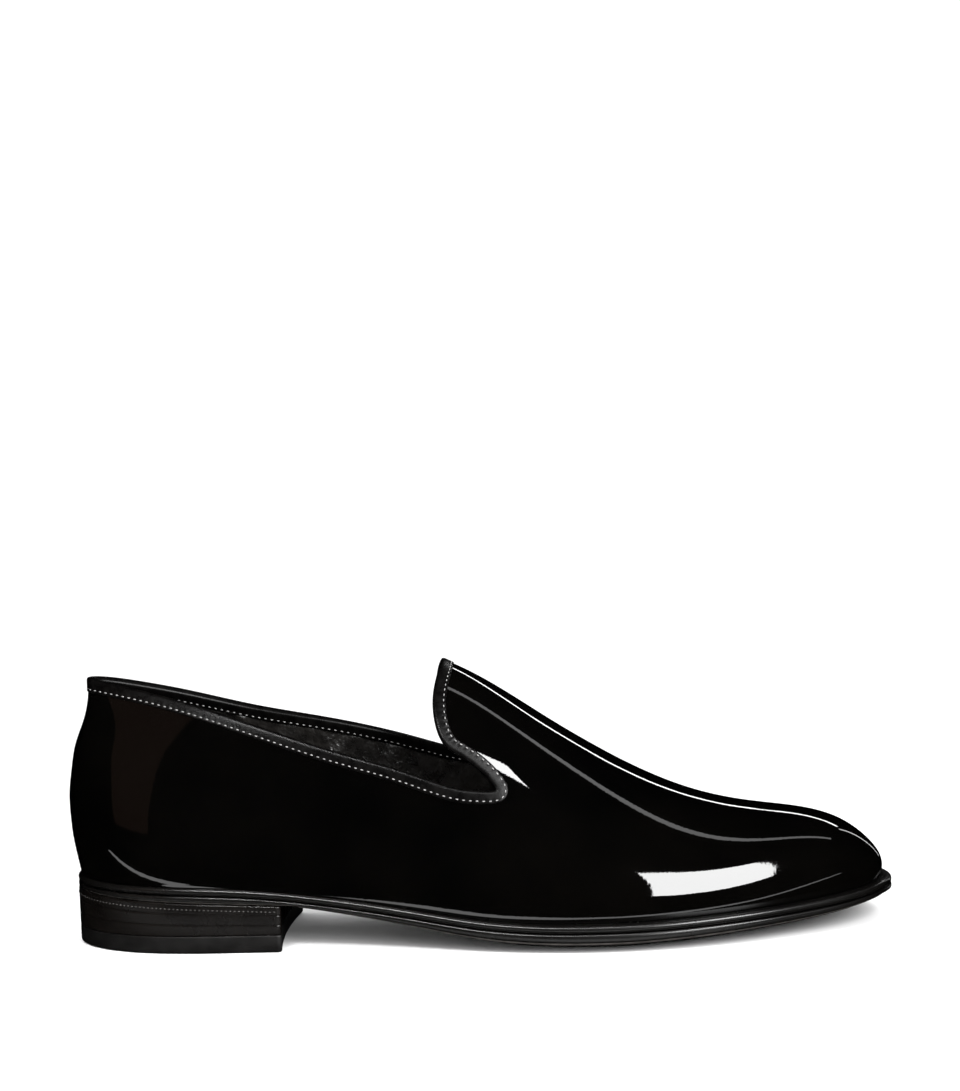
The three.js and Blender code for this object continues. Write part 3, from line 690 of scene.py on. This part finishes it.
@dataclass
class Sole:
    """Welt, outsole and sock, carried round the feather edge."""

    last: Last
    around: int = 900
    across: int = 40
    breast: float = 80.5
    skew: float = 4.0
    welt: float = 2.6
    welt_seat: float = 5.0
    edge_heel: float = 4.8
    edge_ball: float = 7.2
    edge_toe: float = 4.8
    crown: float = 3.6
    sock: float = 2.2

    def __post_init__(self) -> None:
        """Finds the ring of the feather edge and its way out in plan."""
        ring = self.last.ring(self.around)
        run = np.roll(ring, -1, axis=0) - np.roll(ring, 1, axis=0)
        run = unit(run + 0.5 * (np.roll(run, 1, axis=0) + np.roll(run, -1, axis=0)))
        self.edge = ring
        self.out = np.stack([-run[:, 1], run[:, 0]], -1)

    def outline(self, out_by: np.ndarray | float) -> np.ndarray:
        """Ring in plan, moved outward from the feather edge."""
        return self.edge + self.out * np.reshape(out_by, (-1, 1))

    def rim(self, inset: float = 0.0) -> np.ndarray:
        """Rim of the sole in plan, drawn in by an inset."""
        return self.outline(self.last.rim_out(self.edge[:, 0]) - inset)

    def welt_top(self, x: np.ndarray) -> np.ndarray:
        """Height of the welt's top."""
        return self.last.feather(x) - self.last.gap

    def sole_top(self, x: np.ndarray) -> np.ndarray:
        """Height of the outsole's top."""
        return self.welt_top(x) - self.welt - self.last.gap

    def under(self, x: np.ndarray, middle: np.ndarray | float) -> np.ndarray:
        """Underside: straight over the heel, then down to the ball, crowned in the middle."""
        at_back = self.last.heel_seat - self.edge_heel
        at_breast = self.last.feather(np.array(self.breast)) - self.edge_heel
        rise = self.last.sections[2]
        share = rise(self.last.station(x)) / rise(self.last.station(np.array(self.breast)))
        to_ball = 1 - np.maximum(share, 0)
        to_toe = np.maximum(self.last.sections[3](self.last.station(x)), 0)
        thick = (self.edge_heel + (self.edge_ball - self.edge_heel) * to_ball
                 - (self.edge_ball - self.edge_toe) * to_toe)
        free = np.maximum(self.last.feather(x) - thick - self.crown * to_ball * middle, 0)
        heel = at_back + (at_breast - at_back) * x / self.breast
        return np.where(x <= self.breast + self.skew, heel, free)

    def stack(self, name: str, rings: np.ndarray, finishes: list[Finish], slots: np.ndarray,
              caps: tuple[int, int], bulge: tuple[float, float]) -> bpy.types.Object:
        """Closed body from rings, its two lids made of straight rows between outer and inner side.

        Args:
            name: the piece's name.
            rings: rows of rings from the bottom lid's edge to the top lid's edge.
            finishes: finishes of the piece.
            slots: finish of each row of faces.
            caps: finish of the bottom lid and of the top lid.
            bulge: how far the middle of each lid stands out, in millimetres.

        Returns:
            The piece.
        """
        count = rings.shape[1]
        half = count // 2
        share = np.linspace(0, 1, self.across)[None, :, None]
        quads = [grid_faces(len(rings), count, False, True)]
        index = [np.repeat(slots, count)]
        points = [rings.reshape(-1, 3)]
        base = rings.shape[0] * count
        low = np.arange(half + 1)
        high = (count - low) % count
        for k, (ring, sign) in enumerate(((rings[0], -1), (rings[-1], 1))):
            lid = ring[low][:, None] * (1 - share) + ring[high][:, None] * share
            lid[..., 2] += sign * bulge[k] * (1 - (2 * share[..., 0] - 1)**2)**1.5
            faces = grid_faces(half + 1, self.across, False, False) + base
            quads.append(faces if sign < 0 else faces[:, ::-1])
            index.append(np.full(len(faces), caps[k]))
            points.append(lid.reshape(-1, 3))
            base += lid.shape[0] * lid.shape[1]
        return make_piece(name, np.concatenate(points), np.concatenate(quads), finishes,
                          np.concatenate(index), weld=True)

    def build_welt(self) -> None:
        """The welt: a rounded bead that stands out round the sole, tucked in under the upper."""
        table = np.array([
            (99.0, 0.00), (3.2, 0.00), (1.6, 0.00), (0.9, 0.03), (0.45, 0.11), (0.15, 0.24),
            (0.02, 0.42), (0.02, 0.60), (0.15, 0.78), (0.45, 0.92), (0.9, 1.00), (99.0, 1.00)])
        rings = []
        for inset, share in table:
            plan = self.outline(-self.welt_seat) if inset > 50 else self.rim(inset)
            rings.append(np.column_stack([plan, self.welt_top(plan[:, 0]) - self.welt * share]))
        points = np.array(rings)
        quads = grid_faces(len(points), self.around, True, True)
        piece = make_piece("welt_bead", points, quads, [EDGE])
        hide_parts("welt")

    def build_outsole(self) -> None:
        """The outsole, with a groove under the welt, a rounded edge and a lower lip painted lighter as a
        painted reflection of the pale floor.
        """
        table = np.array([
            (1.60, 0.000), (0.95, 0.005), (0.55, 0.06), (0.50, 0.13), (0.46, 0.20), (0.28, 0.24),
            (0.10, 0.28), (0.05, 0.36), (0.04, 0.60), (0.08, 0.84), (0.30, 0.94), (0.95, 0.995),
            (1.60, 1.000)])
        rings = []
        for inset, share in table:
            plan = self.rim(inset)
            low, high = self.under(plan[:, 0], 0), self.sole_top(plan[:, 0])
            rings.append(np.column_stack([plan, low + (high - low) * share]))
        inner = []
        for inset, middle in ((19.0, 1.0), (14.0, 0.88), (9.5, 0.7), (5.0, 0.35)):
            plan = self.rim(inset)
            inner.append(np.column_stack([plan, self.under(plan[:, 0], middle)]))
        rings = np.array(inner + rings)
        slots = np.full(len(rings) - 1, 1)
        # Rows 4 to 7 of the edge take the lip's painted reflection.
        slots[:4], slots[4:8] = 0, 2
        piece = self.stack("leather_outsole", rings, [UNDERSIDE, EDGE, LIP], slots, (0, 1), (0, 0))
        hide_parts("outsole")

    def build_sock(self) -> None:
        """The sock over the insole, a little crowned and rounded at its edge."""
        edge = -(2.0 + self.last.gap + 0.7)
        table = ((-5.3, -2.6), (-5.3, 0.0), (edge, 0.0), (edge - 0.1, 0.9), (edge - 0.4, 1.7),
                 (edge - 1.2, self.sock))
        rings = []
        for out_by, rise in table:
            plan = self.outline(out_by)
            rings.append(np.column_stack([plan, self.welt_top(plan[:, 0]) + self.last.gap + rise]))
        slots = np.zeros(len(table) - 1)
        piece = self.stack("sock", np.array(rings), [SOCK], slots, (0, 0), (0, 0.5))
        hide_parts("insole")

    def build(self) -> None:
        """Builds welt, outsole and sock."""
        self.build_welt()
        self.build_outsole()
        self.build_sock()


@dataclass
class Heel:
    """Stacked leather heel on a rubber top piece."""

    sole: Sole
    top_piece: float = 6.3
    lift: float = 4.1
    hollow: float = 2.2
    corner: float = 1.2
    seat_gap: float = 0.5
    groove: float = 0.16

    def outline(self, count: int = 760) -> np.ndarray:
        """Outline in plan, evenly spaced: the rim behind the breast and a hollow front face."""
        last, breast = self.sole.last, self.sole.breast
        at = np.array(breast)
        half = last.outside * last.sections[0](last.station(at)) + last.rim_out(at)
        rim = self.sole.rim()

        def front(y: np.ndarray) -> np.ndarray:
            """Length of the front face at a place across."""
            share = y / half
            return breast + self.sole.skew * share / 2 - self.hollow * (1 - share * share)

        kept = rim[rim[:, 0] < front(rim[:, 1]) - self.corner]
        y = np.linspace(kept[-1, 1] - self.corner * 0.6, kept[0, 1] + self.corner * 0.6, 120)
        loop = np.concatenate([kept, np.column_stack([front(y), y])])
        loop = np.concatenate([loop, loop[:1]])
        reach = np.concatenate([[0], np.cumsum(np.linalg.norm(np.diff(loop, axis=0), axis=1))])
        even = np.linspace(0, reach[-1], count + 1)[:-1]
        loop = np.stack([np.interp(even, reach, loop[:, i]) for i in (0, 1)], -1)
        for _ in range(2):
            loop = (np.roll(loop, 1, axis=0) + 2 * loop + np.roll(loop, -1, axis=0)) / 4
        return loop

    def block(self, name: str, table: np.ndarray, low: float, top: np.ndarray | float,
              finish: Finish) -> bpy.types.Object:
        """One closed block of the heel.

        Args:
            name: the piece's name.
            table: inset and height share of each row.
            low: height of its underside.
            top: height of its top, the same all over or for each point of the outline.
            finish: its finish.

        Returns:
            The piece.
        """
        loop = self.outline()
        run = unit(np.roll(loop, -2, axis=0) - np.roll(loop, 2, axis=0))
        out = np.stack([-run[:, 1], run[:, 0]], -1)
        centre = np.array([42.0, 0.0])
        rings = []
        for inset, share in table:
            plan = loop - out * inset
            rings.append(np.column_stack([plan, np.broadcast_to(low + (top - low) * share, len(plan))]))
        rings = np.array(rings)
        for first in (0, -1):
            edge = rings[first]
            hub = np.array([*centre, edge[:, 2].mean()])
            lid = [hub + (edge - hub) * s for s in (0.001, 0.4, 0.8)]
            for part in lid:
                part[:, 2] = np.interp(part[:, 0], np.sort(edge[:, 0]), edge[np.argsort(edge[:, 0]), 2])
            rings = np.concatenate([lid, rings] if first == 0 else [rings, lid[::-1]])
        quads = grid_faces(len(rings), len(loop), False, True)
        ends = np.arange(len(loop) // 2 - 1)
        n = len(loop)
        cap = np.stack([ends, ends + 1, n - 2 - ends, n - 1 - ends], -1)
        quads = np.concatenate([quads, cap, cap[:, ::-1] + (len(rings) - 1) * n])
        return make_piece(name, rings, quads, [finish])

    def build(self) -> None:
        """Builds the rubber top piece, the leather lifts and the wheeled row under the seat."""
        round_edge = np.array([
            (1.2, 0.0), (0.5, 0.01), (0.12, 0.06), (0.0, 0.14), (0.0, 0.5), (0.0, 0.9), (0.06, 0.96),
            (0.22, 0.995), (1.2, 1.0)])
        piece = self.block("rubber_top_piece", round_edge, 0.0, self.top_piece, RUBBER)
        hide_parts("heel_top_piece")
        loop = self.outline()
        seat = self.sole.under(loop[:, 0], 0) - self.seat_gap * 0.4
        low = self.top_piece + 0.02
        heights = np.linspace(0, 1, 64)
        lines = np.array([self.lift, 2 * self.lift]) / (seat.mean() - low)
        depth = sum(self.groove * np.exp(-((heights - at) / 0.012)**2) for at in lines)
        depth = depth + 0.5 * np.exp(-heights / 0.008) + 0.6 * np.exp((heights - 1) / 0.012)
        table = np.column_stack([depth, heights])
        piece = self.block("leather_heel_stack", table, low, seat, HEEL)
        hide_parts("heel_lift_1", "heel_lift_2", "heel_lift_3")
        self.build_wheel_marks()

    def build_wheel_marks(self) -> None:
        """Dotted row pressed round the heel just under its seat."""
        rim = self.sole.rim(0.02)
        reach = np.concatenate([[0], np.cumsum(np.linalg.norm(np.diff(rim, axis=0), axis=1))])
        even = np.arange(0, reach[-1], 1.6)
        plan = np.stack([np.interp(even, reach, rim[:, i]) for i in (0, 1)], -1)
        run = unit(np.roll(plan, -1, axis=0) - np.roll(plan, 1, axis=0))
        keep = plan[:, 0] < self.sole.breast - 4
        plan, run = plan[keep], run[keep]
        zero = np.zeros((len(plan), 1))
        out = np.column_stack([-run[:, 1], run[:, 0], zero])
        centre = np.column_stack([plan, self.sole.under(plan[:, 0], 0) - 2.3])
        piece = rows_of_thread("heel_wheel_marks", centre, np.column_stack([run, zero]), out, 0.9, 0.5,
                               MARKS, 0.02)


@dataclass
class Softbox:
    """A lit panel: where it stands, what it faces and its size, in metres."""

    name: str
    place: tuple[float, float, float]
    aim: tuple[float, float, float]
    size: tuple[float, float]
    power: float
    turn: float = 0.0
    color: tuple[float, float, float] = (1.0, 1.0, 1.0)

    def build(self) -> None:
        """Adds the area light."""
        data = bpy.data.lights.new(self.name, "AREA")
        data.shape, data.size, data.size_y = "RECTANGLE", self.size[0], self.size[1]
        data.energy, data.color = self.power, self.color
        lamp = bpy.data.objects.new(self.name, data)
        bpy.context.scene.collection.objects.link(lamp)
        back = unit(np.array(self.place) - np.array(self.aim))
        side = unit(np.cross(np.array([0.0, 0.0, 1.0]), back))
        up = np.cross(back, side)
        c, s = math.cos(self.turn), math.sin(self.turn)
        axes = (side * c + up * s, up * c - side * s, back)
        rows = [[*(a[i] for a in axes), self.place[i]] for i in range(3)]
        lamp.matrix_world = Matrix(rows + [[0, 0, 0, 1]])
        lamp.visible_camera = False


@dataclass
class Studio:
    """Camera at the photograph's angle, pale floor and soft light."""

    azimuth: float = 2.0
    elevation: float = 11.5
    roll: float = -2.2
    distance: float = 1.5
    scale: float = 0.3678e-3
    target: tuple[float, float, float] = (147.2, 0.0, 45.0)
    pixel: tuple[float, float] = (470.63, 805.07)
    picture: tuple[int, int] = (960, 1091)
    lamps: list[Softbox] = field(default_factory=list)

    def build_camera(self) -> None:
        """The camera looks past the shoe, so that the shoe stands where it does in the picture."""
        a, e, r = (math.radians(v) for v in (self.azimuth, self.elevation, self.roll))
        back = np.array([math.sin(a) * math.cos(e), -math.cos(a) * math.cos(e), math.sin(e)])
        right = np.array([math.cos(a), math.sin(a), 0.0])
        up = np.cross(back, right)
        axes = np.stack([right * math.cos(r) + up * math.sin(r),
                         up * math.cos(r) - right * math.sin(r), back], 1)
        place = (np.array(self.target) - MIDDLE) * MM + back * self.distance
        focal = self.distance / self.scale
        aim = unit(np.array([(self.pixel[0] - self.picture[0] / 2) / focal,
                             -(self.pixel[1] - self.picture[1] / 2) / focal, -1.0]))
        ahead = np.array([0.0, 0.0, -1.0])
        axis = np.cross(ahead, aim)
        s, c = float(np.linalg.norm(axis)), float(dot(ahead, aim))
        x, y, z = axis / s
        k = np.array([[0, -z, y], [z, 0, -x], [-y, x, 0]])
        axes = axes @ (np.eye(3) + s * k + (1 - c) * k @ k).T
        data = bpy.data.cameras.new("camera")
        data.sensor_width = 36
        data.lens = 36 * focal / max(self.picture)
        data.clip_start, data.clip_end = 0.05, 40
        camera = bpy.data.objects.new("camera", data)
        bpy.context.scene.collection.objects.link(camera)
        camera.matrix_world = Matrix([[*axes[i], place[i]] for i in range(3)] + [[0, 0, 0, 1]])
        bpy.context.scene.camera = camera

    def build_floor(self) -> None:
        """Pale floor, wide enough for every view."""
        half, low = FLOOR_HALF, -FLOOR_DROP
        mesh = bpy.data.meshes.new("floor")
        corners = [(-half, -half, low), (half, -half, low), (half, half, low), (-half, half, low)]
        mesh.from_pydata(corners, [], [(0, 1, 2, 3)])
        paper = Finish("floor_paper", (0.9, 0.9, 0.9), (0.92, 0.92, 0.92), 400, (0.85, 0.95), specular=0.1)
        mesh.materials.append(paper.material())
        floor = bpy.data.objects.new("floor", mesh)
        floor.visible_glossy = False
        bpy.context.scene.collection.objects.link(floor)

    def build_world(self) -> None:
        """White surroundings that light the shoe but don't mirror in its gloss."""
        world = bpy.data.worlds.new("studio")
        bpy.context.scene.world = world
        world.use_nodes = True
        world.node_tree.nodes["Background"].inputs["Color"].default_value = (1, 1, 1, 1)
        world.node_tree.nodes["Background"].inputs["Strength"].default_value = WORLD_LIGHT
        world.cycles_visibility.glossy = False
        bpy.context.scene.view_settings.view_transform = "Standard"

    def build(self) -> None:
        """Builds the camera, the floor, the surroundings and the lamps."""
        self.build_camera()
        self.build_floor()
        self.build_world()
        for lamp in self.lamps:
            lamp.build()


# Each panel mirrors as one highlight: quarter of the toe, throat, side of the vamp, ridge, toe's
# edge, folds of the lining, brown shine of the quarter and thin line over the welt
LAMPS = [
    Softbox("key_softbox", (0.3476, -0.5333, 0.4081), (0.0603, -0.4779, 0.4744),
            (0.4540, 0.5250), 16.471, 0.066),
    Softbox("throat_panel", (0.0354, -0.1280, 0.1724), (0.0142, -0.0599, -0.1190),
            (0.1032, 0.0161), 0.125, 0.199),
    Softbox("middle_strip", (0.70, 0.28, 1.46), (0.04, -0.02, 0.06), (0.10, 0.90), 0.62),
    Softbox("rim_strip", (0.431, 0.968, 0.613), (0.0, 0.0, 0.05), (0.36, 0.045), 0.5),
    Softbox("toe_strip", (0.717, 0.918, 0.34), (0.14, 0.0, 0.02), (0.04, 0.66), 0.33),
    Softbox("lining_panel", (-0.15, -0.355, 0.39), (-0.07, 0.02, 0.07), (0.10, 0.05), 1.5),
    Softbox("warm_panel", (-0.67, -0.61, 0.46), (0.0, 0.0, 0.04), (0.45, 1.0), 0.13,
            color=(1.0, 0.6, 0.45)),
    Softbox("floor_glow", (0.0, -0.066, 0.0005), (0.0, -0.0661, 1.0), (0.5, 0.006), 0.024),
]


def main() -> None:
    """Builds the shoe and the studio."""
    logging.basicConfig(level=logging.INFO, format="%(name)s %(message)s")
    Studio(lamps=LAMPS).build()
    last = Last()
    sole = Sole(last)
    for part in (Upper(last), sole, Heel(sole)):
        log.info("building %s", type(part).__name__)
        part.build()


if __name__ == "__main__":
    main()
